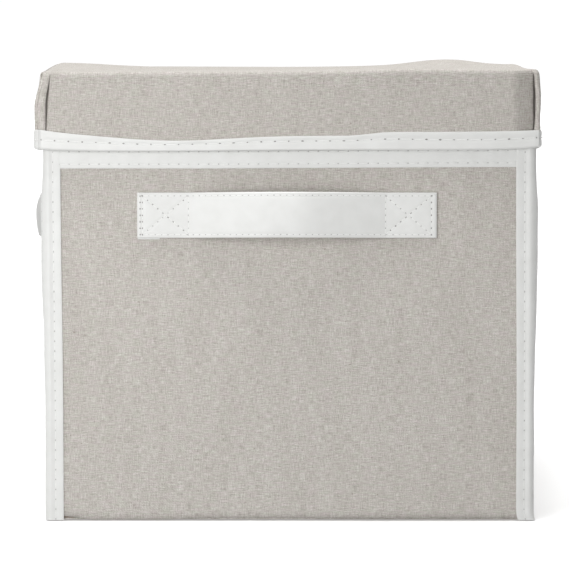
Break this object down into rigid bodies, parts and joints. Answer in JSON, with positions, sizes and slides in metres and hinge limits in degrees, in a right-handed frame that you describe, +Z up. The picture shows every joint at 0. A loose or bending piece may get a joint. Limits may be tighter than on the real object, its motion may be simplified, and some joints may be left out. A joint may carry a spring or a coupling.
{
  "type": "fabric storage bin",
  "caption": "Rectangular linen-look fabric storage bin with stiffened walls, white bound edges, a lift-off lid with a deep skirt, and strap handles on the front and sides.",
  "frame": {"origin": "centre of the bin's flat underside", "axes": "+Z up through the lid, -Y towards the front with its handle, +Y into the depth, +X to the right seen from the front"},
  "size_m": [0.3096, 0.3938, 0.2548],
  "materials": {
    "linen": "heathered light grey-beige plain weave, matt",
    "white_faux_leather": "white smooth faux leather, satin",
    "fibreboard": "plain thin fibreboard",
    "lining_fabric": "plain non-woven lining, matt"
  },
  "bodies": {
    "bin": {"front_panel": "linen", "back_panel": "linen", "left_panel": "linen", "right_panel": "linen", "bottom_panel": "linen", "front_board": "fibreboard", "back_board": "fibreboard", "left_board": "fibreboard", "right_board": "fibreboard", "front_lining": "lining_fabric", "back_lining": "lining_fabric", "left_lining": "lining_fabric", "right_lining": "lining_fabric", "front_left_corner_binding": "white_faux_leather", "front_right_corner_binding": "white_faux_leather", "back_left_corner_binding": "white_faux_leather", "back_right_corner_binding": "white_faux_leather", "mouth_binding": "white_faux_leather", "front_trim_tape": "white_faux_leather", "back_trim_tape": "white_faux_leather", "left_trim_tape": "white_faux_leather", "right_trim_tape": "white_faux_leather", "front_handle_left_patch": "white_faux_leather", "front_handle_right_patch": "white_faux_leather", "front_handle_left_neck": "white_faux_leather", "front_handle_right_neck": "white_faux_leather", "left_handle_front_patch": "white_faux_leather", "left_handle_back_patch": "white_faux_leather", "left_handle_front_neck": "white_faux_leather", "left_handle_back_neck": "white_faux_leather", "right_handle_front_patch": "white_faux_leather", "right_handle_back_patch": "white_faux_leather", "right_handle_front_neck": "white_faux_leather", "right_handle_back_neck": "white_faux_leather"},
    "lid": {"lid_cover": "linen", "lid_top_board": "fibreboard", "lid_front_flap_board": "fibreboard", "lid_back_flap_board": "fibreboard", "lid_left_flap_board": "fibreboard", "lid_right_flap_board": "fibreboard", "lid_lining": "lining_fabric", "lid_binding": "white_faux_leather"},
    "base_board": {"base_board": "fibreboard", "base_board_cover": "lining_fabric"},
    "front_handle": {"front_handle_grip": "white_faux_leather"},
    "left_handle": {"left_handle_grip": "white_faux_leather"},
    "right_handle": {"right_handle_grip": "white_faux_leather"}
  },
  "joints": [
    {"name": "lid_lift", "type": "slide", "parent": "bin", "child": "lid", "axis": [0, 0, 1], "range_m": [0, 0.2]},
    {"name": "base_board_lift", "type": "slide", "parent": "bin", "child": "base_board", "axis": [0, 0, 1], "range_m": [0, 0.2]},
    {"name": "front_handle_swing", "type": "hinge", "parent": "bin", "child": "front_handle", "pos_m": [-0.0017, -0.1884, 0.1748], "axis": [-1, 0, 0], "range_deg": [-30, 30], "stiffness_Nm_per_rad": 0.03, "deforming": ["front_handle_left_neck", "front_handle_right_neck"]},
    {"name": "left_handle_swing", "type": "hinge", "parent": "bin", "child": "left_handle", "pos_m": [-0.1394, 0, 0.166], "axis": [0, 1, 0], "range_deg": [-40, 40], "stiffness_Nm_per_rad": 0.03, "deforming": ["left_handle_front_neck", "left_handle_back_neck"]},
    {"name": "right_handle_swing", "type": "hinge", "parent": "bin", "child": "right_handle", "pos_m": [0.1394, 0, 0.166], "axis": [0, -1, 0], "range_deg": [-30, 30], "stiffness_Nm_per_rad": 0.03, "deforming": ["right_handle_front_neck", "right_handle_back_neck"]}
  ]
}
